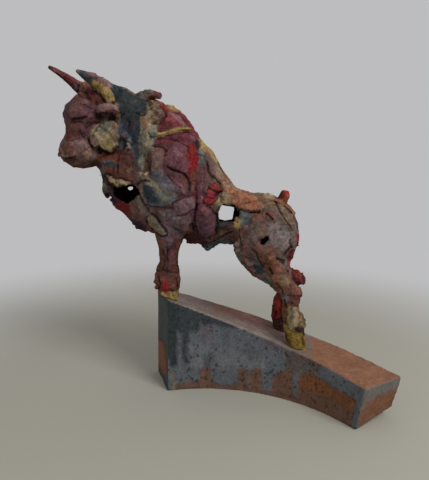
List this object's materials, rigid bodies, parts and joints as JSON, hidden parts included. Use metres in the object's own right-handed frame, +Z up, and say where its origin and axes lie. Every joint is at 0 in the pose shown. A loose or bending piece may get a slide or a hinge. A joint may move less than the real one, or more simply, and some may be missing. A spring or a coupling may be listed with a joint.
{
  "type": "stoneware bull sculpture",
  "caption": "Standing bull built from torn clay slabs, head turned to one side, on a curved plinth that slopes down like a ramp.",
  "frame": {"origin": "on the flat underside of the plinth, below the middle of the bull's body", "axes": "+Z up, +X from the muzzle towards the tail and the plinth's low end, -Y towards the near flank"},
  "size_m": [0.4283, 0.1428, 0.3983],
  "materials": {
    "slate_glaze": "semi-gloss speckled glaze",
    "bare_clay": "matte bare clay",
    "washed_clay": "matte slip wash",
    "plum_slip": "matte slip",
    "mauve_slip": "matte slip",
    "slate_slip": "matte slip",
    "cream_slip": "matte slip",
    "terracotta_slip": "matte slip",
    "dark_slip": "matte slip",
    "yellow_slip": "matte slip",
    "red_slip": "satin slip"
  },
  "bodies": {
    "root": {"plinth_front_wall": "slate_glaze", "plinth_back_wall": "slate_glaze", "plinth_tall_end": "slate_glaze", "plinth_base": "bare_clay", "plinth_low_end": "bare_clay", "plinth_top": "washed_clay", "hump_slab_near": "plum_slip", "hump_slab_far": "plum_slip", "hump_edge_slab": "plum_slip", "blade_slab_near": "plum_slip", "blade_slab_far": "plum_slip", "rib_slab_near": "plum_slip", "rib_slab_far": "plum_slip", "oval_rib_slab": "plum_slip", "face_slab": "plum_slip", "horn_far": "plum_slip", "buttock_slab": "mauve_slip", "rump_slab_near": "mauve_slip", "rump_slab_far": "mauve_slip", "arm_slab_near": "mauve_slip", "arm_slab_far": "mauve_slip", "brisket_slab": "mauve_slip", "shoulder_edge_slab": "mauve_slip", "muzzle_slab": "mauve_slip", "jaw_slab": "mauve_slip", "cheek_slab_far": "mauve_slip", "thigh_near": "mauve_slip", "thigh_far": "mauve_slip", "ear_near": "mauve_slip", "ear_far": "mauve_slip", "mane_slab_near": "slate_slip", "mane_slab_far": "slate_slip", "flank_slab_near": "slate_slip", "flank_slab_far": "slate_slip", "crest_knob": "slate_slip", "horn_near": "slate_slip", "neck_slab_near": "cream_slip", "neck_slab_far": "cream_slip", "cheek_slab_near": "cream_slip", "back_strap_slab": "terracotta_slip", "loin_slab": "terracotta_slip", "throat_slab_near": "terracotta_slip", "throat_slab_far": "terracotta_slip", "poll_slab": "terracotta_slip", "foreleg_near": "terracotta_slip", "foreleg_far": "terracotta_slip", "hind_cannon_near": "terracotta_slip", "belly_slab": "dark_slip", "groin_slab": "dark_slip", "chest_slab": "dark_slip", "fore_hoof_near": "yellow_slip", "fore_hoof_far": "yellow_slip", "hind_hoof_near": "yellow_slip", "hind_hoof_far": "yellow_slip", "mane_strap": "yellow_slip", "hump_coil": "yellow_slip", "tail_knob": "red_slip", "hock_knob": "red_slip", "hind_cannon_far": "red_slip"}
  },
  "joints": []
}
